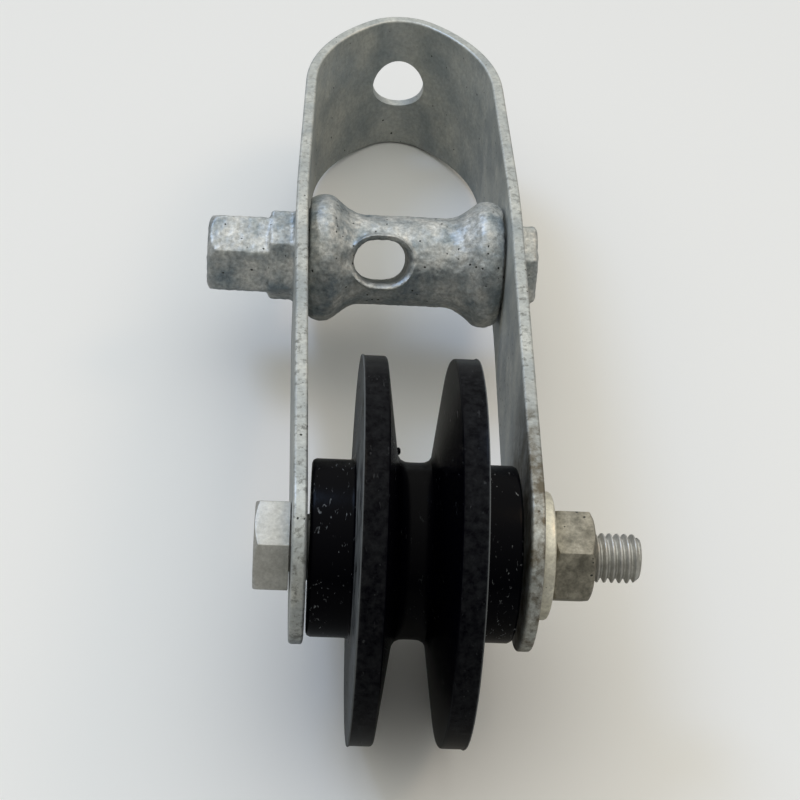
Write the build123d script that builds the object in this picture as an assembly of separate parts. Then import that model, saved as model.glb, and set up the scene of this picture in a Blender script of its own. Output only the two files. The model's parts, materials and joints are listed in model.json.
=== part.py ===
from build123d import *
import math
import os

os.makedirs("parts", exist_ok=True)

# Fence wire tensioner with a grooved reel wheel.  All sizes in mm.
# The pieces are drawn in the bracket's own axes: X along the bolt, Y up the
# legs to the crown of the bend, Z across the strap, zero at the middle of
# the bolt.  lay_down() then turns the lot into its resting attitude.

# strap bracket
STRAP_WIDTH = 38.0
STRAP_THICK = 2.8
STRAP_EDGE_ROUND = 0.6
HALF_OUT_AT_BOLT = 24.05       # middle to the outside of one leg
HALF_OUT_AT_SPOOL = 26.2
HALF_OUT_AT_SHOULDER = 25.1
SPOOL_UP = 98.2                # bolt axis to spool axis
CROWN_UP = 184.9               # bolt axis to the outside of the crown
SHOULDER_RADIUS = 42.0         # outside radii of the bend
CROWN_RADIUS = 14.0
BOW_RADIUS = 500.0             # where the legs bow out round the spool
FIXING_HOLE_RADIUS = 6.9
BOLT_HOLE_RADIUS = 5.4

# winding spool
BARREL_RADIUS = 10.8
SPOOL_FLANGE_RADIUS = 15.2
FLANGE_FACE_RADIUS = 13.9      # where the flange meets the leg
JOURNAL_RADIUS = 11.3
JOURNAL_PLAY = 0.06
SPOOL_END_GAP = 0.6            # from the widest point of the legs
DRIVE_FLATS = 17.6
COLLAR_FLATS = 19.3
STUB_FLATS = 18.4
DRIVE_END = -46.6
COLLAR_END = -32.1
STUB_END = 31.5
DRIVE_TURN = 52.0              # hexagon corner, degrees from +Z towards -Y
COLLAR_TURN = 40.0
STUB_TURN = 47.0
WIRE_HOLE_X = -5.6
WIRE_HOLE_LONG = 12.6
WIRE_HOLE_HIGH = 9.8
WIRE_HOLE_TURN = 57.0          # the way through, degrees from +Z towards -Y
LIP_HEIGHT = 11.7

# wheel
WHEEL_RADIUS = 38.4
WHEEL_MIDDLE = -0.25
FLANGE_OUT = 11.7              # wheel middle to the outside of a flange
GROOVE_HALF_AT_RIM = 6.5
GROOVE_HALF_AT_ROOT = 3.1
GROOVE_ROOT_RADIUS = 17.4
HUB_RADIUS = 17.5
HUB_HALF = 20.2                # the hub is a little shorter than the gap
SLEEVE_RADIUS = 6.5
SLEEVE_PLAY = 0.06             # wheel on sleeve
SLEEVE_END_GAP = 0.05          # sleeve to leg
RIM_ROUND = 0.7
HUB_ROUND = 1.0
ROOT_ROUND = 2.0

# fastenings
SHANK_RADIUS = 5.0
THREAD_RADIUS = 4.9
THREAD_LENGTH = 26.0
BOLT_LENGTH = 69.2             # under the head
HEAD_FLATS = 17.2
HEAD_THICK = 6.9
HEAD_TURN = 45.0
WASHER_RADIUS = 12.7
WASHER_THICK = 2.5
NUT_FLATS = 17.2
NUT_THICK = 8.4
NUT_TURN = 42.0

leg_lean = math.atan2(HALF_OUT_AT_SPOOL - HALF_OUT_AT_BOLT, SPOOL_UP)


def leg_outside(up):
    """Outside face of the lower leg, measured out from the middle."""
    return HALF_OUT_AT_BOLT + up * math.tan(leg_lean)


def bend_centres():
    """The shoulder arc's centre and the crown arc's height, and the angles
    at which a leg meets its shoulder and the shoulder meets the crown."""
    reach = SHOULDER_RADIUS - CROWN_RADIUS
    crown_y = CROWN_UP - CROWN_RADIUS
    crown_turn = math.acos((SHOULDER_RADIUS - HALF_OUT_AT_SHOULDER) / reach)
    shoulder_x = -reach * math.cos(crown_turn)
    shoulder_y = crown_y - reach * math.sin(crown_turn)
    across = HALF_OUT_AT_SPOOL - shoulder_x
    up = SPOOL_UP - shoulder_y
    leg_turn = math.atan2(up, across) + math.acos(SHOULDER_RADIUS / math.hypot(across, up))
    return shoulder_x, shoulder_y, crown_y, leg_turn, crown_turn


def arch_face(inset):
    """The area inside the bracket's side outline, set in by inset."""
    shoulder_x, shoulder_y, crown_y, leg_turn, crown_turn = bend_centres()
    # the inset corner where the two straights of a leg meet
    share = inset / (1 + math.cos(leg_turn + leg_lean))
    knee_x = HALF_OUT_AT_SPOOL - share * (math.cos(leg_lean) + math.cos(leg_turn))
    knee_y = SPOOL_UP - share * (math.sin(leg_turn) - math.sin(leg_lean))
    foot_y = -STRAP_WIDTH
    foot_x = leg_outside(foot_y) - inset / math.cos(leg_lean)
    radius = SHOULDER_RADIUS - inset
    middle_turn = (leg_turn + crown_turn) / 2

    def shoulder_at(angle, side):
        x = shoulder_x + radius * math.cos(angle)
        return (side * x, shoulder_y + radius * math.sin(angle))

    with BuildSketch() as face:
        with BuildLine():
            for side in (1, -1):
                Line((side * foot_x, foot_y), (side * knee_x, knee_y))
                Line((side * knee_x, knee_y), shoulder_at(leg_turn, side))
                ThreePointArc(
                    shoulder_at(leg_turn, side),
                    shoulder_at(middle_turn, side),
                    shoulder_at(crown_turn, side),
                )
            ThreePointArc(
                shoulder_at(crown_turn, 1),
                (0, CROWN_UP - inset),
                shoulder_at(crown_turn, -1),
            )
            Line((-foot_x, foot_y), (foot_x, foot_y))
        make_face()
        knees = face.vertices().filter_by(lambda v: abs(v.Y - knee_y) < 0.01)
        fillet(knees, BOW_RADIUS - inset)
    return face.sketch


def round_bar(radius, start, end, y=0.0):
    """A cylinder along X."""
    bar = Cylinder(radius, end - start, align=(Align.CENTER, Align.CENTER, Align.MIN))
    return Pos(start, y, 0) * Rot(0, 90, 0) * bar


def hex_bar(flats, start, end, corner, y=0.0):
    """A hexagonal bar along X, one corner at the given angle from +Z to -Y."""
    section = RegularPolygon(flats / 2, 6, major_radius=False, rotation=0)
    bar = Rot(0, 90, 0) * extrude(section, end - start)
    # the section's own corner lies on local X, which now points to -Z
    return Pos(start, y, 0) * Rot(180 + corner, 0, 0) * bar


def turned(points, y=0.0):
    """A shape turned round the X axis from (x, radius) points."""
    with BuildPart() as body:
        with BuildSketch(Plane.XY):
            with BuildLine():
                Polyline(*points, close=True)
            make_face()
        revolve(axis=Axis.X)
    return Pos(0, y, 0) * body.part


def bracket():
    """One strip of strap bent to a long arch, with round ends to the legs."""
    half = STRAP_WIDTH / 2
    outer = extrude(arch_face(0), half, both=True)
    inner = extrude(arch_face(STRAP_THICK), half + 1, both=True)
    with BuildSketch(Plane.YZ) as plan:
        Circle(half)
        with Locations((CROWN_UP / 2 + 1, 0)):
            Rectangle(CROWN_UP + 2, STRAP_WIDTH)
    strap = outer - inner
    strap &= extrude(plan.sketch, STRAP_WIDTH, both=True)
    long_edges = strap.edges().filter_by(lambda e: on_strap_edge(e.center(), half))
    strap = fillet(long_edges, STRAP_EDGE_ROUND)
    strap -= round_bar(BOLT_HOLE_RADIUS, -40, 40)
    strap -= round_bar(JOURNAL_RADIUS + JOURNAL_PLAY, -40, 40, SPOOL_UP)
    fixing = Cylinder(FIXING_HOLE_RADIUS, 40)
    strap -= Pos(0, CROWN_UP, 0) * Rot(90, 0, 0) * fixing
    return strap


def on_strap_edge(point, half):
    """True on the long edges and round the leg ends, not across the strap."""
    if point.Y < 0:
        return math.hypot(point.Y, point.Z) > half - 8
    return abs(point.Z) > half - 0.01


def spool_side():
    """Half section of the spool between the legs and through them."""
    leg = HALF_OUT_AT_SPOOL + 0.05
    face_x = HALF_OUT_AT_SPOOL - STRAP_THICK - SPOOL_END_GAP
    big = SPOOL_FLANGE_RADIUS
    with BuildPart() as body:
        with BuildSketch(Plane.XY):
            with BuildLine():
                for side in (1, -1):
                    Line((side * leg, 0), (side * leg, JOURNAL_RADIUS))
                    Line((side * leg, JOURNAL_RADIUS), (side * face_x, JOURNAL_RADIUS))
                    Line((side * face_x, JOURNAL_RADIUS), (side * face_x, FLANGE_FACE_RADIUS))
                    ThreePointArc(
                        (side * face_x, FLANGE_FACE_RADIUS),
                        (side * (face_x - 1.6), big - 0.35),
                        (side * (face_x - 4.0), big),
                    )
                    Spline(
                        (side * (face_x - 4.0), big),
                        (side * (face_x - 7.2), big - 1.6),
                        (side * (face_x - 10.0), BARREL_RADIUS + 0.8),
                        (side * (face_x - 13.2), BARREL_RADIUS),
                        tangents=[(-side, 0), (-side, 0)],
                    )
                Line((face_x - 13.2, BARREL_RADIUS), (13.2 - face_x, BARREL_RADIUS))
                Line((-leg, 0), (leg, 0))
            make_face()
        revolve(axis=Axis.X)
    return Pos(0, SPOOL_UP, 0) * body.part


def oval_bar(long, high, reach):
    """An oval-ended slot shape, reaching both ways along Z."""
    return extrude(SlotOverall(long, high), reach, both=True)


def spool():
    """Cast winding spool: flanged barrel with a lipped oval wire hole,
    a hexagon to turn it by and a short stub through the other leg."""
    body = spool_side()
    lip = oval_bar(WIRE_HOLE_LONG + 3.4, WIRE_HOLE_HIGH + 3.6, LIP_HEIGHT)
    lip = fillet(lip.faces().filter_by(Axis.Z).edges(), 1.0)
    hole = oval_bar(WIRE_HOLE_LONG, WIRE_HOLE_HIGH, 20)
    place = Pos(WIRE_HOLE_X, SPOOL_UP, 0) * Rot(WIRE_HOLE_TURN, 0, 0)
    leg = HALF_OUT_AT_SPOOL
    drive = hex_bar(DRIVE_FLATS, DRIVE_END, COLLAR_END + 2, DRIVE_TURN, SPOOL_UP)
    drive = fillet(drive.edges().filter_by(lambda e: abs(e.center().X - DRIVE_END) < 0.1), 0.9)
    collar = hex_bar(COLLAR_FLATS, COLLAR_END, -leg, COLLAR_TURN, SPOOL_UP)
    collar = fillet(collar.faces().sort_by(Axis.X)[0].edges(), 0.8)
    stub = hex_bar(STUB_FLATS, leg, STUB_END, STUB_TURN, SPOOL_UP)
    stub = fillet(stub.faces().sort_by(Axis.X)[-1].edges(), 1.5)
    body = body + place * lip + drive + collar + stub
    return body - place * hole


def wheel():
    """Moulded reel wheel: two tall flanges, a deep groove and a long hub."""
    m = WHEEL_MIDDLE
    bore = SLEEVE_RADIUS + SLEEVE_PLAY
    left = [
        (m - HUB_HALF, bore),
        (m - HUB_HALF, HUB_RADIUS),
        (m - FLANGE_OUT, HUB_RADIUS),
        (m - FLANGE_OUT, WHEEL_RADIUS),
        (m - GROOVE_HALF_AT_RIM, WHEEL_RADIUS),
        (m - GROOVE_HALF_AT_ROOT, GROOVE_ROOT_RADIUS),
    ]
    right = [(2 * m - x, radius) for x, radius in reversed(left)]
    body = turned(left + right)
    rims = body.edges().filter_by(lambda e: e.geom_type == GeomType.CIRCLE)
    body = fillet(rims.filter_by(lambda e: e.radius > WHEEL_RADIUS - 0.1), RIM_ROUND)
    rings = body.edges().filter_by(lambda e: e.geom_type == GeomType.CIRCLE)
    root = rings.filter_by(lambda e: abs(e.radius - GROOVE_ROOT_RADIUS) < 0.05)
    body = fillet(root, ROOT_ROUND)
    rings = body.edges().filter_by(lambda e: e.geom_type == GeomType.CIRCLE)
    hub_ends = rings.filter_by(
        lambda e: abs(e.radius - HUB_RADIUS) < 0.05 and abs(e.center().X - m) > HUB_HALF - 0.1
    )
    return fillet(hub_ends, HUB_ROUND)


def sleeve():
    """Spacer tube on the bolt.  It keeps the legs off the wheel's hub when
    the nut is tight, and the wheel turns on it."""
    half = leg_outside(-SLEEVE_RADIUS) - STRAP_THICK / math.cos(leg_lean) - SLEEVE_END_GAP
    return round_bar(SLEEVE_RADIUS, -half, half) - round_bar(SHANK_RADIUS + 0.2, -half - 1, half + 1)


def chamfered_hex(flats, start, end, corner, at_start, at_end):
    """A hexagon with its corners turned off at 30 degrees on chosen ends."""
    bar = hex_bar(flats, start, end, corner)
    touch = flats / 2 * 0.97
    far = flats
    drop = (far - touch) * math.tan(math.radians(30))
    if at_start:
        bar &= turned([(start, 0), (start, touch), (start + drop, far), (end + 9, far), (end + 9, 0)])
    if at_end:
        bar &= turned([(end, 0), (end, touch), (end - drop, far), (start - 9, far), (start - 9, 0)])
    return bar


def bolt():
    """Hexagon bolt, head against the left leg, thread out past the right."""
    seat = -leg_outside(HEAD_FLATS / 2 * 1.16)
    end = seat + BOLT_LENGTH
    head = chamfered_hex(HEAD_FLATS, seat - HEAD_THICK, seat, HEAD_TURN, True, False)
    shank = round_bar(SHANK_RADIUS, seat - 1, end - THREAD_LENGTH)
    thread = round_bar(THREAD_RADIUS, end - THREAD_LENGTH - 1, end)
    tip = thread.edges().filter_by(lambda e: abs(e.center().X - end) < 0.01)
    thread = chamfer(tip, 1.2)
    return head + shank + thread


def washer():
    """Wide flat washer between the right leg and the nut."""
    start = leg_outside(WASHER_RADIUS + 0.5)
    ring = round_bar(WASHER_RADIUS, start, start + WASHER_THICK)
    ring -= round_bar(THREAD_RADIUS + 0.5, start - 1, start + WASHER_THICK + 1)
    outer_face = ring.faces().sort_by(Axis.X)[-1]
    rim = outer_face.outer_wire().edges()
    return fillet(rim, 0.5)


def nut():
    """Hexagon nut, corners turned off on both faces."""
    start = leg_outside(WASHER_RADIUS + 0.5) + WASHER_THICK
    body = chamfered_hex(NUT_FLATS, start, start + NUT_THICK, NUT_TURN, True, True)
    return body - round_bar(THREAD_RADIUS + 0.05, start - 1, start + NUT_THICK + 1)


def lay_down(shapes):
    """Rest the part on both wheel rims and the back edge of the bend."""
    half = STRAP_WIDTH / 2
    long = math.hypot(CROWN_UP, half)
    dip = math.asin(WHEEL_RADIUS / long) - math.atan2(half, CROWN_UP)
    turn = Rot(-math.degrees(dip), 0, 0)
    laid = {name: turn * shape for name, shape in shapes.items()}
    boxes = [shape.bounding_box() for shape in laid.values()]
    low = [min(tuple(box.min)[i] for box in boxes) for i in range(3)]
    high = [max(tuple(box.max)[i] for box in boxes) for i in range(3)]
    move = Pos(-(low[0] + high[0]) / 2, -(low[1] + high[1]) / 2, -low[2])
    return {name: move * shape for name, shape in laid.items()}


pieces = {
    "bracket": bracket(),
    "spool": spool(),
    "wheel": wheel(),
    "sleeve": sleeve(),
    "bolt": bolt(),
    "washer": washer(),
    "nut": nut(),
}

for name, shape in lay_down(pieces).items():
    export_step(shape, "parts/" + name + ".step")
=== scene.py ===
import json
import math

import bpy
from mathutils import Euler, Matrix, Vector


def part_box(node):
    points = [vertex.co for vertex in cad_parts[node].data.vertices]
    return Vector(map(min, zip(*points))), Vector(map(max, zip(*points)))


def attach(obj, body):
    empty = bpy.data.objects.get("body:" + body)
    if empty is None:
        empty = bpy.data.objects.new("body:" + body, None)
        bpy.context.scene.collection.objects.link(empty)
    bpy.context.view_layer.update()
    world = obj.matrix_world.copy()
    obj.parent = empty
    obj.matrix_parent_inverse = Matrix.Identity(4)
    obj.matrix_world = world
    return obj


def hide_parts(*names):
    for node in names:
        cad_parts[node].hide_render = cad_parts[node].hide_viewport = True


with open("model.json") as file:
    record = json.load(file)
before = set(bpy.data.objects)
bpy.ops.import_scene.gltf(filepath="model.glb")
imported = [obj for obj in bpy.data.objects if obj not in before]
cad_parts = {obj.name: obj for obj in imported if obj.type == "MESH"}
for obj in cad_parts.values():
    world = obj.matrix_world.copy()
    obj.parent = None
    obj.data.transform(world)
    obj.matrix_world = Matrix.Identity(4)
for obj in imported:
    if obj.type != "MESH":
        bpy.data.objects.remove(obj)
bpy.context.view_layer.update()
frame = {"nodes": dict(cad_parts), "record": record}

MM = 0.001

# sizes in mm
ACROSS_FLATS = 17.2     # bolt head and nut
HEAD_HEIGHT = 6.9
SHANK_RADIUS = 5
THREAD_ROOT = 4.0       # radius at the bottom of the thread
THREAD_CREST = 4.86     # and at its top
THREAD_PITCH = 1.5
SAME_POINT = 0.001      # points nearer than this are merged
CUT_TOLERANCE = 0.0001  # a point this near to a cut counts as on it

# degrees from straight across the legs to a corner of the hexagon
HEAD_TURNED = 45
NUT_TURNED = 42


# ---------------------------------------------------------------- helpers

def linear(hex_colour):
    """An sRGB hex colour as the linear colour that a shader reads."""
    parts = [int(hex_colour[i:i + 2], 16) / 255 for i in (0, 2, 4)]
    flat = [p / 12.92 if p <= 0.04045 else ((p + 0.055) / 1.055) ** 2.4 for p in parts]
    return (*flat, 1.0)


def add_node(tree, kind, settings=None, inputs=None):
    """One node with its settings; an input is a value or another node's output."""
    node = tree.nodes.new(kind)
    for name, value in (settings or {}).items():
        setattr(node, name, value)
    for name, value in (inputs or {}).items():
        if isinstance(value, bpy.types.NodeSocket):
            tree.links.new(value, node.inputs[name])
        else:
            node.inputs[name].default_value = value
    return node


def new_material(name):
    material = bpy.data.materials.new(name)
    material.use_nodes = True
    material.node_tree.nodes.clear()
    return material, material.node_tree


def finish_material(tree, shader):
    out = add_node(tree, "ShaderNodeOutputMaterial")
    tree.links.new(shader.outputs["BSDF"], out.inputs["Surface"])


def middle_of(node):
    """The middle of a CAD node's box, which for the turned pieces is on their axis."""
    low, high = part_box(node)
    return (Vector(low) + Vector(high)) / 2


def dip_of_legs():
    """Degrees by which the legs dip towards the bend."""
    crown = next(m for m in frame["record"]["mounts"] if m["name"] == "fixing_hole")
    return math.degrees(math.atan2(-crown["axis"][2], crown["axis"][1]))


def clear_selection():
    bpy.ops.object.select_all(action="DESELECT")


def select_only(piece):
    clear_selection()
    piece.select_set(True)
    bpy.context.view_layer.objects.active = piece


def start_editing(piece):
    """Edit mode on this piece, with all its points selected."""
    select_only(piece)
    bpy.ops.object.mode_set(mode="EDIT")
    bpy.ops.mesh.select_mode(type="VERT")
    bpy.ops.mesh.select_all(action="SELECT")


def close_up(piece):
    """Doubles merged and every face turned outwards."""
    start_editing(piece)
    bpy.ops.mesh.remove_doubles(threshold=SAME_POINT * MM)
    bpy.ops.mesh.normals_make_consistent(inside=False)
    bpy.ops.object.mode_set(mode="OBJECT")


def apply_place(piece):
    """The object back at the origin, its place kept in its mesh."""
    select_only(piece)
    bpy.ops.object.transform_apply(location=True, rotation=True, scale=True)


def apply_modifier(piece, name, kind, **settings):
    """One modifier, added with its settings and applied."""
    select_only(piece)
    modifier = piece.modifiers.new(name, kind)
    for setting, value in settings.items():
        setattr(modifier, setting, value)
    bpy.ops.object.modifier_apply(modifier=modifier.name)


def combine(piece, other, operation):
    """Joins, cuts or keeps what two closed shapes share, and removes the second."""
    apply_modifier(piece, "combine", "BOOLEAN",
                   operation=operation, object=other, solver="EXACT")
    bpy.data.objects.remove(other)


def soften_edges(piece, width, segments=3):
    """Small rounds, width in mm, on the sharp edges, then smooth shading."""
    apply_modifier(piece, "soften", "BEVEL", width=width * MM, segments=segments,
                   limit_method="ANGLE", angle_limit=math.radians(28), use_clamp_overlap=True)
    smooth(piece)


def smooth(piece, angle=35):
    """Smooth shading, except across edges sharper than the angle in degrees."""
    select_only(piece)
    bpy.ops.object.shade_smooth_by_angle(angle=math.radians(angle))


def finish_piece(piece, material, body, node):
    """Gives a finished piece its material and its place in the assembly."""
    piece.data.materials.clear()
    piece.data.materials.append(material)
    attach(piece, body)
    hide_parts(node)


# ---------------------------------------------------------------- shaping tools

def turned(name, axis, points, sides, solid=False):
    """A shape turned round the line along X through the point axis.  A circle
    is pulled from each (x, radius) to the next, in mm.  A ring is pulled back
    to its first circle.  A solid has its two ends filled, which would close a
    ring with a disc across its hole."""
    x, radius = points[0]
    clear_selection()
    bpy.ops.mesh.primitive_circle_add(
        vertices=sides, radius=radius * MM,
        location=axis + Vector((x * MM, 0, 0)), rotation=(0, math.pi / 2, 0),
    )
    piece = bpy.context.active_object
    piece.name = name
    apply_place(piece)
    start_editing(piece)
    back = [] if solid else points[:1]
    for here, there in zip(points, points[1:] + back):
        move = ((there[0] - here[0]) * MM, 0, 0)
        grow = there[1] / here[1]
        bpy.ops.mesh.extrude_edges_move(TRANSFORM_OT_translate={"value": move})
        bpy.ops.transform.resize(value=(1, grow, grow), center_override=tuple(axis))
    if solid:
        bpy.ops.mesh.select_all(action="SELECT")
        bpy.ops.mesh.fill_holes(sides=0)
    bpy.ops.object.mode_set(mode="OBJECT")
    close_up(piece)
    return piece


def hexagon(name, axis, flats, start, end, corner):
    """A hexagonal bar along X, one corner at an angle from +Z towards -Y."""
    lie_down = Matrix.Rotation(math.pi / 2, 3, "Y")
    turn = Matrix.Rotation(math.radians(corner - 30), 3, "X") @ lie_down
    clear_selection()
    bpy.ops.mesh.primitive_cylinder_add(
        vertices=6, radius=flats / math.sqrt(3) * MM, depth=(end - start) * MM,
        location=axis + Vector(((start + end) / 2 * MM, 0, 0)), rotation=turn.to_euler(),
    )
    piece = bpy.context.active_object
    piece.name = name
    apply_place(piece)
    return piece


def turned_blank(axis, start, end, touch, at_start, at_end):
    """The turned shape that takes a hexagon's corners off at 30 degrees.  At
    an end that is cut it starts from a circle of radius touch, in mm, and is
    soon wider than the hexagon."""
    drop = touch * 0.7 * math.tan(math.radians(30))
    wide = touch * 1.7
    points = [(start, touch if at_start else wide), (start + drop, wide)]
    points += [(end - drop, wide), (end, touch if at_end else wide)]
    return turned("blank", axis, points, 96, solid=True)


def thread(axis, start, end, root, crest, pitch):
    """A right-hand thread: one pitch of its outline, wound along X from two
    pitches before the start to past the end, and cut square at both."""
    clear_selection()
    first = axis + Vector(((start - 2 * pitch) * MM, 0, root * MM))
    bpy.ops.mesh.primitive_plane_add(size=1 * MM, location=first)
    piece = bpy.context.active_object
    start_editing(piece)
    bpy.ops.mesh.merge(type="CENTER")
    # root, flank, the crest in two halves with a slight crown, flank, root
    flank = pitch * 0.32
    depth = crest - root
    steps = [
        (pitch * 0.08, 0), (flank, depth),
        (pitch * 0.10, depth * 0.06), (pitch * 0.10, -depth * 0.06),
        (flank, -depth), (pitch * 0.08, 0),
    ]
    for along, out in steps:
        move = (along * MM, 0, out * MM)
        bpy.ops.mesh.extrude_vertices_move(TRANSFORM_OT_translate={"value": move})
    bpy.ops.object.mode_set(mode="OBJECT")
    apply_place(piece)
    bpy.context.scene.cursor.location = axis
    bpy.ops.object.origin_set(type="ORIGIN_CURSOR")
    turns = math.ceil((end - start) / pitch) + 4
    apply_modifier(piece, "wind", "SCREW", axis="X", angle=2 * math.pi, screw_offset=pitch * MM,
                   iterations=turns, steps=48, render_steps=48, use_merge_vertices=True,
                   merge_threshold=0.005 * MM)
    apply_place(piece)
    # the cut's usual tolerance of 0.1 mm is too coarse here and leaves the end torn
    for cut, outwards in ((start, -1), (end, 1)):
        start_editing(piece)
        bpy.ops.mesh.bisect(
            plane_co=axis + Vector((cut * MM, 0, 0)), plane_no=(outwards, 0, 0),
            use_fill=True, clear_outer=True, threshold=CUT_TOLERANCE * MM,
        )
        bpy.ops.object.mode_set(mode="OBJECT")
    close_up(piece)
    return piece


# ---------------------------------------------------------------- materials

def galvanised_steel(name, light, dark, grey_size, grit, speckle, pits, roughness,
                     relief=0.55, over=None):
    """Zinc-coated steel, hot dipped or plated, and dulled outdoors.  Dipped, it
    is a pale cloudy grey with a soft sheen, a fine grainy skin, small dark pits
    and grains that stand out lighter or darker.  Plated, it is smoother, more
    even and has hardly a pit.  The clouds' size, grey_size, and the grains',
    grit, are in mm.  pits is the share of the cells that have a pit, and over
    lays something on the colour."""
    material, tree = new_material(name)
    place = add_node(tree, "ShaderNodeTexCoord").outputs["Object"]
    clouds = add_node(tree, "ShaderNodeTexNoise", inputs={
        "Vector": place, "Scale": 1 / (grey_size * MM), "Detail": 5.0, "Roughness": 0.6,
    })
    grain = add_node(tree, "ShaderNodeTexNoise", inputs={
        "Vector": place, "Scale": 1 / (grit * MM), "Detail": 4.0, "Roughness": 0.65,
    })
    # pits: ragged holes about half a millimetre across, one to a cell at most
    cells = add_node(tree, "ShaderNodeTexVoronoi", inputs={
        "Vector": place, "Scale": 1 / (1.3 * MM), "Randomness": 1.0,
    })
    chance = add_node(tree, "ShaderNodeSeparateXYZ", inputs={"Vector": cells.outputs["Color"]})
    kept = add_node(tree, "ShaderNodeMapRange", inputs={
        "Value": chance.outputs["X"], "From Min": pits, "From Max": pits + 0.08,
        "To Min": 0.0, "To Max": 0.5,
    })
    ragged = add_node(tree, "ShaderNodeMath", {"operation": "MULTIPLY_ADD"}, {
        0: grain.outputs["Fac"], 1: 0.35, 2: cells.outputs["Distance"],
    })
    away = add_node(tree, "ShaderNodeMath", {"operation": "ADD"}, {
        0: ragged.outputs[0], 1: kept.outputs["Result"],
    })
    pit = add_node(tree, "ShaderNodeMapRange", {"interpolation_type": "SMOOTHSTEP"}, {
        "Value": away.outputs[0], "From Min": 0.33, "From Max": 0.41,
        "To Min": 1.0, "To Max": 0.0,
    })
    cloudy = add_node(tree, "ShaderNodeValToRGB", inputs={"Fac": clouds.outputs["Fac"]})
    cloudy.color_ramp.elements[0].position = 0.34
    cloudy.color_ramp.elements[0].color = linear(dark)
    cloudy.color_ramp.elements[1].position = 0.66
    cloudy.color_ramp.elements[1].color = linear(light)
    # grains stand out lighter or darker than the clouds behind them
    speck = add_node(tree, "ShaderNodeMapRange", inputs={
        "Value": grain.outputs["Fac"], "From Min": 0.3, "From Max": 0.7,
        "To Min": 1 - speckle, "To Max": 1 + 0.8 * speckle,
    })
    grained = add_node(tree, "ShaderNodeVectorMath", {"operation": "SCALE"}, {
        0: cloudy.outputs["Color"], "Scale": speck.outputs["Result"],
    })
    colour = add_node(tree, "ShaderNodeMix", {"data_type": "RGBA"}, {
        0: pit.outputs["Result"], 6: grained.outputs["Vector"], 7: linear("3E403C"),
    }).outputs[2]
    if over:
        colour = over(tree, place, colour)
    shine = add_node(tree, "ShaderNodeMapRange", inputs={
        "Value": clouds.outputs["Fac"], "From Min": 0.3, "From Max": 0.7,
        "To Min": roughness - 0.08, "To Max": roughness + 0.10,
    })
    height = add_node(tree, "ShaderNodeMath", {"operation": "SUBTRACT"})
    tree.links.new(grain.outputs["Fac"], height.inputs[0])
    tree.links.new(pit.outputs["Result"], height.inputs[1])
    bump = add_node(tree, "ShaderNodeBump", inputs={
        "Height": height.outputs[0], "Strength": relief, "Distance": 0.16 * grit * MM,
    })
    shader = add_node(tree, "ShaderNodeBsdfPrincipled", inputs={
        "Base Color": colour, "Roughness": shine.outputs["Result"],
        "Metallic": 0.6, "Normal": bump.outputs["Normal"],
    })
    finish_material(tree, shader)
    return material


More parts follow.
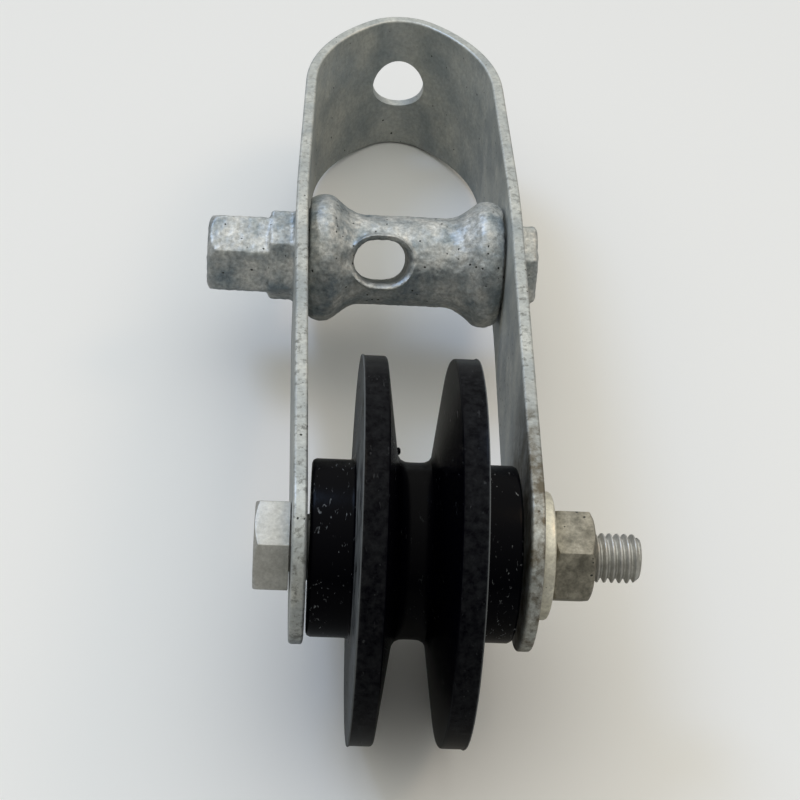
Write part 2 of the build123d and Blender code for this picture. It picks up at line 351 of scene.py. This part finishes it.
def sheared_edges(tree, place, colour):
    """The strap's sheared long edges took the zinc unevenly and show grey
    flecks, and brown grime has gathered on the leg round the nut."""
    axle = middle_of("wheel")
    dip = math.radians(dip_of_legs())
    across = Vector((0, math.sin(dip), math.cos(dip)))
    along = Vector((0, math.cos(dip), -math.sin(dip)))
    centred = add_node(tree, "ShaderNodeVectorMath", {"operation": "SUBTRACT"}, {
        0: place, 1: axle,
    })
    height = add_node(tree, "ShaderNodeVectorMath", {"operation": "DOT_PRODUCT"}, {
        0: centred.outputs["Vector"], 1: across,
    })
    length = add_node(tree, "ShaderNodeVectorMath", {"operation": "DOT_PRODUCT"}, {
        0: centred.outputs["Vector"], 1: along,
    })
    # the edges are half a strap's width from the middle line, and past the
    # bolt, where the leg is round, as far from the bolt
    past_bolt = add_node(tree, "ShaderNodeMath", {"operation": "MINIMUM"}, {
        0: length.outputs["Value"], 1: 0.0,
    })
    outline = add_node(tree, "ShaderNodeCombineXYZ", inputs={
        "X": past_bolt.outputs[0], "Y": height.outputs["Value"],
    })
    reach = add_node(tree, "ShaderNodeVectorMath", {"operation": "LENGTH"}, {
        0: outline.outputs["Vector"],
    })
    edge = add_node(tree, "ShaderNodeMapRange", inputs={
        "Value": reach.outputs["Value"], "From Min": 18.5 * MM, "From Max": 18.9 * MM,
        "To Max": 0.8,
    })
    blotches = add_node(tree, "ShaderNodeTexNoise", inputs={
        "Vector": place, "Scale": 1 / (1.5 * MM), "Detail": 5.0, "Roughness": 0.7,
    })
    # the flecks are fewer towards the bend
    fewer = add_node(tree, "ShaderNodeMapRange", inputs={
        "Value": length.outputs["Value"], "From Min": 60.0 * MM, "From Max": 160.0 * MM,
        "To Min": 1.0, "To Max": 0.35,
    })
    fleck = add_node(tree, "ShaderNodeMapRange", inputs={
        "Value": blotches.outputs["Fac"], "From Min": 0.52, "From Max": 0.63,
        "To Max": fewer.outputs["Result"],
    })
    flecks = add_node(tree, "ShaderNodeMath", {"operation": "MULTIPLY"}, {
        0: fleck.outputs["Result"], 1: edge.outputs["Result"],
    })
    flecked = add_node(tree, "ShaderNodeMix", {"data_type": "RGBA"}, {
        0: flecks.outputs[0], 6: colour, 7: linear("7B7C77"),
    })
    # grime on the nut's leg, thickest near the nut
    flat = add_node(tree, "ShaderNodeCombineXYZ", inputs={
        "X": length.outputs["Value"], "Y": height.outputs["Value"],
    })
    from_nut = add_node(tree, "ShaderNodeVectorMath", {"operation": "LENGTH"}, {
        0: flat.outputs["Vector"],
    })
    near_nut = add_node(tree, "ShaderNodeMapRange", inputs={
        "Value": from_nut.outputs["Value"], "From Min": 19.0 * MM, "From Max": 38.0 * MM,
        "To Min": 0.95, "To Max": 0.0,
    })
    parts = add_node(tree, "ShaderNodeSeparateXYZ", inputs={"Vector": centred.outputs["Vector"]})
    nut_side = add_node(tree, "ShaderNodeMath", {"operation": "GREATER_THAN"}, {
        0: parts.outputs["X"], 1: 0.0,
    })
    stained = add_node(tree, "ShaderNodeTexNoise", inputs={
        "Vector": place, "Scale": 1 / (4.5 * MM), "Detail": 6.0, "Roughness": 0.7,
    })
    stain = add_node(tree, "ShaderNodeMapRange", inputs={
        "Value": stained.outputs["Fac"], "From Min": 0.38, "From Max": 0.60,
    })
    here = add_node(tree, "ShaderNodeMath", {"operation": "MULTIPLY"}, {
        0: near_nut.outputs["Result"], 1: nut_side.outputs[0],
    })
    grime = add_node(tree, "ShaderNodeMath", {"operation": "MULTIPLY"}, {
        0: here.outputs[0], 1: stain.outputs["Result"],
    })
    grimy = add_node(tree, "ShaderNodeMix", {"data_type": "RGBA"}, {
        0: grime.outputs[0], 6: flecked.outputs[2], 7: linear("675E4D"),
    })
    return grimy.outputs[2]


def moulded_black_plastic():
    """Black polyethylene, injection moulded: a deep black with a faint sheen.
    The hub has pale scuffs in clusters, the rims are a grainy dull grey with a
    thin pale line at their outer corners, a painted highlight along the flash,
    and the flange sides are rubbed grey and streaky from sliding past the legs."""
    material, tree = new_material("moulded_black_polyethylene")
    axle = middle_of("wheel")
    coords = add_node(tree, "ShaderNodeTexCoord")
    centred = add_node(tree, "ShaderNodeMapping", inputs={
        "Vector": coords.outputs["Object"], "Location": tuple(-axle),
    })
    parts = add_node(tree, "ShaderNodeSeparateXYZ", inputs={"Vector": centred.outputs["Vector"]})
    flat = add_node(tree, "ShaderNodeCombineXYZ", inputs={
        "Y": parts.outputs["Y"], "Z": parts.outputs["Z"],
    })
    radius = add_node(tree, "ShaderNodeVectorMath", {"operation": "LENGTH"}, {
        0: flat.outputs["Vector"],
    })
    out = add_node(tree, "ShaderNodeMath", {"operation": "ABSOLUTE"}, {0: parts.outputs["X"]})
    # the flange sides: past the hub's radius, and right at the outside
    past_hub = add_node(tree, "ShaderNodeMapRange", inputs={
        "Value": radius.outputs["Value"], "From Min": 18.2 * MM, "From Max": 19.4 * MM,
    })
    outside = add_node(tree, "ShaderNodeMapRange", inputs={
        "Value": out.outputs[0], "From Min": 11.25 * MM, "From Max": 11.4 * MM,
    })
    side = add_node(tree, "ShaderNodeMath", {"operation": "MULTIPLY"}, {
        0: past_hub.outputs["Result"], 1: outside.outputs["Result"],
    })
    # a thin pale line at the rims' outer corners, along the flash: a painted highlight
    at_rim = add_node(tree, "ShaderNodeMapRange", inputs={
        "Value": radius.outputs["Value"], "From Min": 38.0 * MM, "From Max": 38.3 * MM,
    })
    flash_highlight_band = add_node(tree, "ShaderNodeMapRange", inputs={
        "Value": out.outputs[0], "From Min": 11.1 * MM, "From Max": 11.3 * MM, "To Max": 0.55,
    })
    corner = add_node(tree, "ShaderNodeMath", {"operation": "MULTIPLY"}, {
        0: at_rim.outputs["Result"], 1: flash_highlight_band.outputs["Result"],
    })
    # the hub is further out than the flanges
    on_hub = add_node(tree, "ShaderNodeMapRange", inputs={
        "Value": out.outputs[0], "From Min": 11.6 * MM, "From Max": 12.2 * MM, "To Min": 0.15,
    })
    # rubbed patches on the flange sides, drawn out into streaks that run round
    rings = add_node(tree, "ShaderNodeCombineXYZ", inputs={
        "X": radius.outputs["Value"], "Y": parts.outputs["X"],
    })
    streaks = add_node(tree, "ShaderNodeTexNoise", inputs={
        "Vector": rings.outputs["Vector"], "Scale": 1 / (1.3 * MM), "Detail": 4.0,
    })
    patches = add_node(tree, "ShaderNodeTexNoise", inputs={
        "Vector": centred.outputs["Vector"], "Scale": 1 / (7 * MM), "Detail": 6.0,
        "Roughness": 0.65, "Distortion": 0.8,
    })
    streaky = add_node(tree, "ShaderNodeMath", {"operation": "MULTIPLY"}, {
        0: streaks.outputs["Fac"], 1: 0.4,
    })
    rub = add_node(tree, "ShaderNodeMath", {"operation": "MULTIPLY_ADD"}, {
        0: patches.outputs["Fac"], 1: 0.6, 2: streaky.outputs[0],
    })
    rubbed = add_node(tree, "ShaderNodeMapRange", inputs={
        "Value": rub.outputs[0], "From Min": 0.38, "From Max": 0.68,
    })
    worn = add_node(tree, "ShaderNodeMath", {"operation": "MULTIPLY"}, {
        0: rubbed.outputs["Result"], 1: side.outputs[0],
    })
    # scuffs: short pale dashes in clusters, mostly on the hub
    long_marks = add_node(tree, "ShaderNodeMapping", inputs={
        "Vector": centred.outputs["Vector"], "Rotation": (0.4, 0.2, 0.5), "Scale": (1, 0.35, 0.6),
    })
    dashes = add_node(tree, "ShaderNodeTexNoise", inputs={
        "Vector": long_marks.outputs["Vector"], "Scale": 1 / (0.7 * MM), "Detail": 2.0,
        "Distortion": 0.8,
    })
    scuff = add_node(tree, "ShaderNodeMapRange", inputs={
        "Value": dashes.outputs["Fac"], "From Min": 0.64, "From Max": 0.74,
    })
    knocked = add_node(tree, "ShaderNodeMapRange", inputs={
        "Value": patches.outputs["Fac"], "From Min": 0.46, "From Max": 0.56,
    })
    clusters = add_node(tree, "ShaderNodeMath", {"operation": "MULTIPLY"}, {
        0: scuff.outputs["Result"], 1: knocked.outputs["Result"],
    })
    scuffed = add_node(tree, "ShaderNodeMath", {"operation": "MULTIPLY"}, {
        0: clusters.outputs[0], 1: on_hub.outputs["Result"],
    })
    both = add_node(tree, "ShaderNodeMath", {"operation": "MAXIMUM"}, {
        0: worn.outputs[0], 1: scuffed.outputs[0],
    })
    # the rims are a grainy dull grey from being knocked and stood on
    skin = add_node(tree, "ShaderNodeTexNoise", inputs={
        "Vector": centred.outputs["Vector"], "Scale": 1 / (1.6 * MM), "Detail": 6.0,
        "Roughness": 0.7,
    })
    grainy = add_node(tree, "ShaderNodeMapRange", inputs={
        "Value": skin.outputs["Fac"], "From Min": 0.38, "From Max": 0.66,
    })
    dull = add_node(tree, "ShaderNodeMath", {"operation": "MULTIPLY"}, {
        0: at_rim.outputs["Result"], 1: grainy.outputs["Result"],
    })
    # the rims' grey grain, with the painted highlight line added on top
    edges = add_node(tree, "ShaderNodeMath", {"operation": "MULTIPLY_ADD"}, {
        0: dull.outputs[0], 1: 0.09, 2: corner.outputs[0],
    })
    pale = add_node(tree, "ShaderNodeMath", {"operation": "MAXIMUM"}, {
        0: both.outputs[0], 1: edges.outputs[0],
    })
    colour = add_node(tree, "ShaderNodeMix", {"data_type": "RGBA"}, {
        0: pale.outputs[0], 6: linear("020207"), 7: linear("83878A"),
    })
    matt = add_node(tree, "ShaderNodeMapRange", inputs={
        "Value": pale.outputs[0], "To Min": 0.24, "To Max": 0.60,
    })
    height = add_node(tree, "ShaderNodeMath", {"operation": "SUBTRACT"}, {
        0: skin.outputs["Fac"], 1: clusters.outputs[0],
    })
    bump = add_node(tree, "ShaderNodeBump", inputs={
        "Height": height.outputs[0], "Strength": 0.35, "Distance": 0.08 * MM,
    })
    # far less reflection than the real plastic has, or the black turns grey
    shader = add_node(tree, "ShaderNodeBsdfPrincipled", inputs={
        "Base Color": colour.outputs[2], "Roughness": matt.outputs["Result"],
        "IOR": 1.5, "Specular IOR Level": 0.045, "Normal": bump.outputs["Normal"],
    })
    finish_material(tree, shader)
    return material


# ---------------------------------------------------------------- camera, floor and light

def photographer():
    """Above the wheel's end, looking along the bracket at about 45 degrees."""
    data = bpy.data.cameras.new("camera")
    data.sensor_width = 36
    data.lens = 81.25
    camera = bpy.data.objects.new("camera", data)
    camera.location = Vector((-22.95, -300.2, 313.8)) * MM
    camera.rotation_euler = Euler([math.radians(a) for a in (44.148, -3.993, -0.530)], "XYZ")
    bpy.context.collection.objects.link(camera)
    bpy.context.scene.camera = camera


def table_top():
    """White melamine-faced board: even, pale and slightly satin."""
    clear_selection()
    bpy.ops.mesh.primitive_plane_add(size=40, location=(0, 1, 0))
    table = bpy.context.active_object
    table.name = "table_top"
    material, tree = new_material("white_melamine_board")
    # the board throws less light back up than it shows, so the low faces of the
    # pieces stay dark, and it is a little paler towards the front: painted light
    # that evens out the shade falling there
    ray = add_node(tree, "ShaderNodeLightPath")
    place = add_node(tree, "ShaderNodeTexCoord").outputs["Object"]
    parts = add_node(tree, "ShaderNodeSeparateXYZ", inputs={"Vector": place})
    nearer = add_node(tree, "ShaderNodeMapRange", inputs={
        "Value": parts.outputs["Y"], "From Min": -0.7, "From Max": -1.3,
    })
    board = add_node(tree, "ShaderNodeMix", {"data_type": "RGBA"}, {
        0: nearer.outputs["Result"], 6: linear("EDEDEC"), 7: linear("F9F9F8"),
    })
    colour = add_node(tree, "ShaderNodeMix", {"data_type": "RGBA"}, {
        0: ray.outputs["Is Camera Ray"], 6: linear("A4A4A2"), 7: board.outputs[2],
    })
    shader = add_node(tree, "ShaderNodeBsdfPrincipled", inputs={
        "Base Color": colour.outputs[2], "Roughness": 0.85,
    })
    finish_material(tree, shader)
    table.data.materials.append(material)


def soft_light(name, place, size, power, colour):
    """A soft round light aimed at the origin."""
    data = bpy.data.lights.new(name, "AREA")
    data.shape = "DISK"
    data.size = size
    data.energy = power
    data.color = colour
    lamp = bpy.data.objects.new(name, data)
    lamp.location = place
    lamp.rotation_euler = (-Vector(place)).to_track_quat("-Z", "Y").to_euler()
    bpy.context.collection.objects.link(lamp)


def room_light():
    """The room: brightest overhead and behind the object, dim low down."""
    world = bpy.data.worlds.new("room")
    world.use_nodes = True
    tree = world.node_tree
    tree.nodes.clear()
    coords = add_node(tree, "ShaderNodeTexCoord")
    way = add_node(tree, "ShaderNodeSeparateXYZ", inputs={"Vector": coords.outputs["Generated"]})
    high = add_node(tree, "ShaderNodeMapRange", inputs={
        "Value": way.outputs["Z"], "From Min": 0.0, "From Max": 1.0,
        "To Min": 0.1, "To Max": 1.24,
    })
    behind = add_node(tree, "ShaderNodeMapRange", {"interpolation_type": "SMOOTHSTEP"}, {
        "Value": way.outputs["Y"], "From Min": -0.8, "From Max": 0.6,
        "To Min": 0.6, "To Max": 1.12,
    })
    strength = add_node(tree, "ShaderNodeMath", {"operation": "MULTIPLY"}, {
        0: high.outputs["Result"], 1: behind.outputs["Result"],
    })
    light = add_node(tree, "ShaderNodeBackground", inputs={
        "Color": linear("FFFEF6"), "Strength": strength.outputs[0],
    })
    out = add_node(tree, "ShaderNodeOutputWorld")
    tree.links.new(light.outputs["Background"], out.inputs["Surface"])
    bpy.context.scene.world = world


def plain_view():
    """Colours show as they are, with no film curve over them."""
    bpy.context.scene.view_settings.view_transform = "Standard"


# ---------------------------------------------------------------- pieces

def moulding_nub(axle):
    """A small torn stub of plastic left in the corner of the groove."""
    clear_selection()
    place = axle + Vector((-3.4, 13.8, 13.8)) * MM
    bpy.ops.mesh.primitive_ico_sphere_add(subdivisions=3, radius=0.7 * MM, location=place)
    nub = bpy.context.active_object
    apply_place(nub)
    start_editing(nub)
    bpy.ops.transform.resize(value=(0.7, 1.2, 1.0), center_override=tuple(place))
    bpy.ops.object.mode_set(mode="OBJECT")
    return nub


def reel_wheel():
    """The moulded wheel: crisp rims with a thin line of flash, drafted
    flange sides, a rounded groove and a long hub.  The outline runs from the
    bore's left mouth out over the left flange to the groove's middle."""
    axle = middle_of("wheel")
    left = [
        (-19.85, 6.57), (-20.2, 6.9), (-20.2, 16.6), (-19.95, 17.2), (-19.3, 17.5),
        (-12.7, 17.5), (-12.1, 17.7), (-11.75, 18.4),
        (-11.55, 28), (-11.45, 37.9), (-11.4, 38.29), (-11.2, 38.39), (-11.0, 38.29),
        (-10.8, 38.18), (-7.1, 38.18), (-6.75, 38.1), (-6.5, 37.8),
        (-5.3, 30), (-3.85, 20.5), (-3.5, 18.9), (-2.9, 17.95), (-2.0, 17.5), (-1.0, 17.4),
    ]
    right = [(-x, radius) for x, radius in reversed(left)]
    wheel = turned("reel_wheel", axle, left + right, 192)
    combine(wheel, moulding_nub(axle), "UNION")
    close_up(wheel)
    smooth(wheel, 30)
    finish_piece(wheel, moulded_black_plastic(), "wheel", "wheel")


def wire_hole_mouths():
    """Cutters that flare the two mouths of the spool's oval wire hole."""
    axis = middle_of("spool")
    hole = next(m for m in frame["record"]["mounts"] if m["name"] == "wire_hole")
    out = Vector(hole["axis"]).normalized()
    turn = out.to_track_quat("Z", "X").to_matrix()
    cutters = []
    for side in (1, -1):
        centre = Vector((hole["pos_m"][0], axis.y, axis.z))
        base = centre + side * out * 9.8 * MM
        clear_selection()
        bpy.ops.mesh.primitive_circle_add(
            vertices=64, radius=4.9 * MM, location=base, rotation=turn.to_euler(),
        )
        cutter = bpy.context.active_object
        apply_place(cutter)
        start_editing(cutter)
        bpy.ops.transform.resize(value=(1.29, 1, 1), center_override=tuple(base))
        # each step outwards, in mm, flares the mouth a little more
        for rise, grow in ((0.8, 1.08), (0.6, 1.10), (0.5, 1.11), (1.4, 1.2)):
            step = side * out * rise * MM
            base = base + step
            bpy.ops.mesh.extrude_edges_move(TRANSFORM_OT_translate={"value": tuple(step)})
            bpy.ops.transform.resize(value=(grow, grow, grow), center_override=tuple(base))
        bpy.ops.mesh.select_all(action="SELECT")
        bpy.ops.mesh.fill_holes(sides=0)
        bpy.ops.object.mode_set(mode="OBJECT")
        close_up(cutter)
        cutters.append(cutter)
    return cutters


def winding_spool():
    """The casting: the CAD shape with the outer end of its drive hexagon run
    round, the wire hole's mouths flared, all its edges soft, as sand casting
    and dipping leave them, and a lumpy skin that mostly goes inwards."""
    source = frame["nodes"]["spool"]
    spool = source.copy()
    spool.data = source.data.copy()
    spool.parent = None
    spool.matrix_world = Matrix.Identity(4)
    spool.name = "winding_spool"
    bpy.context.collection.objects.link(spool)
    close_up(spool)
    axis = middle_of("spool")
    low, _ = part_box("spool")
    start = (low[0] - axis.x) / MM
    # a turned blank rounds the hexagon's outer end and clears everything past it
    points = [
        (start, 7.5), (start + 0.5, 8.5), (start + 1.3, 9.4), (start + 2.4, 10.1),
        (start + 3.2, 10.4), (start + 3.3, 40), (60, 40),
    ]
    combine(spool, turned("end_blank", axis, points, 96, solid=True), "INTERSECT")
    for mouth in wire_hole_mouths():
        combine(spool, mouth, "DIFFERENCE")
    apply_modifier(spool, "cast", "REMESH", mode="VOXEL", voxel_size=0.40 * MM)
    apply_modifier(spool, "run_soft", "SMOOTH", factor=0.5, iterations=5)
    skin = bpy.data.textures.new("casting_skin", "CLOUDS")
    skin.noise_scale = 1.9 * MM
    skin.noise_depth = 3
    apply_modifier(spool, "skin", "DISPLACE", texture=skin, texture_coords="LOCAL",
                   strength=0.46 * MM, mid_level=0.92)
    smooth(spool, 60)
    zinc = galvanised_steel(
        "hot_dip_galvanised_casting", light="D8D8D4", dark="8C979E", grey_size=6.0,
        grit=0.9, speckle=0.36, pits=0.13, roughness=0.44, relief=0.9,
    )
    finish_piece(spool, zinc, "spool", "spool")


def strap_bracket():
    """The bent strap keeps its CAD shape and is galvanised."""
    zinc = galvanised_steel(
        "hot_dip_galvanised_strap", light="D9DAD4", dark="B0B7B9", grey_size=11.0,
        grit=1.0, speckle=0.17, pits=0.05, roughness=0.44, over=sheared_edges,
    )
    strap = frame["nodes"]["bracket"]
    strap.data.materials.clear()
    strap.data.materials.append(zinc)


def threaded_bolt():
    """Hexagon bolt: forged head, plain shank and a rolled thread."""
    low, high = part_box("bolt")
    axis = middle_of("bolt")
    start = (low[0] - axis.x) / MM
    end = (high[0] - axis.x) / MM
    under_head = start + HEAD_HEIGHT
    shank_end = end - 25.4
    bolt = hexagon("bolt_m10", axis, ACROSS_FLATS, start, under_head,
                   HEAD_TURNED - dip_of_legs())
    combine(bolt, turned_blank(axis, start, under_head, 8.35, True, False), "INTERSECT")
    soften_edges(bolt, 0.3)
    outline = [(under_head - 1, SHANK_RADIUS), (shank_end, SHANK_RADIUS)]
    combine(bolt, turned("shank", axis, outline, 96, solid=True), "UNION")
    # the thread starts inside the shank and runs past the bolt's end, where the
    # tip's outline cuts it, so that no two faces lie together
    screw = thread(axis, end - 26, end + 0.8, THREAD_ROOT, THREAD_CREST, THREAD_PITCH)
    outline = [(end - 30, 6), (end - 1.4, 6), (end - 1.25, 4.95), (end, 3.9)]
    combine(screw, turned("tip", axis, outline, 96, solid=True), "INTERSECT")
    combine(bolt, screw, "UNION")
    close_up(bolt)
    smooth(bolt, 30)
    zinc = galvanised_steel(
        "zinc_plated_bolt", light="D2D1CC", dark="B2B1AB", grey_size=5.0,
        grit=0.8, speckle=0.18, pits=0.02, roughness=0.38,
    )
    finish_piece(bolt, zinc, "bracket", "bolt")


def hexagon_nut():
    """The dirty nut: corners taken off on both faces and a countersunk hole."""
    low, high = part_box("nut")
    axis = middle_of("nut")
    half = (high[0] - low[0]) / 2 / MM
    nut = hexagon("nut_m10", axis, ACROSS_FLATS, -half, half, NUT_TURNED - dip_of_legs())
    combine(nut, turned_blank(axis, -half, half, 8.05, True, True), "INTERSECT")
    hole = [(-half - 1, 6.2), (-half + 0.25, 4.97), (half - 0.25, 4.97), (half + 1, 6.2)]
    combine(nut, turned("hole", axis, hole, 96, solid=True), "DIFFERENCE")
    soften_edges(nut, 0.35)
    zinc = galvanised_steel(
        "hot_dip_galvanised_nut", light="B1AC9E", dark="78756A", grey_size=3.5,
        grit=0.8, speckle=0.32, pits=0.16, roughness=0.48,
    )
    finish_piece(nut, zinc, "bracket", "nut")


def flat_washer():
    """The wide pressed washer, its outer edge rolled over towards the nut."""
    low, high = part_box("washer")
    half = (high[0] - low[0]) / 2 / MM
    points = [
        (-half, 5.4), (-half, 12.45), (-half + 0.25, 12.7), (half - 0.6, 12.7),
        (half - 0.18, 12.5), (half, 12.1), (half, 5.4),
    ]
    washer = turned("flat_washer", middle_of("washer"), points, 128)
    soften_edges(washer, 0.12, 2)
    zinc = galvanised_steel(
        "yellowed_zinc_washer", light="F4F1E2", dark="D8D4C4", grey_size=3.0,
        grit=0.7, speckle=0.20, pits=0.02, roughness=0.36,
    )
    finish_piece(washer, zinc, "bracket", "washer")


def spacer_sleeve():
    """The tube on the bolt that the wheel turns on, hidden in the hub."""
    low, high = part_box("sleeve")
    half = (high[0] - low[0]) / 2 / MM
    points = [
        (-half, 5.2), (-half, 6.3), (-half + 0.2, 6.5),
        (half - 0.2, 6.5), (half, 6.3), (half, 5.2),
    ]
    sleeve = turned("spacer_sleeve", middle_of("sleeve"), points, 96)
    soften_edges(sleeve, 0.08, 2)
    zinc = galvanised_steel(
        "zinc_plated_sleeve", light="BEC1C0", dark="A0A4A3", grey_size=4.0,
        grit=0.6, speckle=0.15, pits=0.02, roughness=0.40,
    )
    finish_piece(sleeve, zinc, "bracket", "sleeve")


photographer()
table_top()
soft_light("left_window", (-1.9, 1.7, 3.0), size=1.3, power=30, colour=(0.42, 0.62, 1.0))
soft_light("right_lamp", (2.4, 0.9, 2.8), size=1.1, power=9.5, colour=(1.0, 0.70, 0.44))
room_light()
plain_view()

strap_bracket()
winding_spool()
reel_wheel()
spacer_sleeve()
threaded_bolt()
flat_washer()
hexagon_nut()
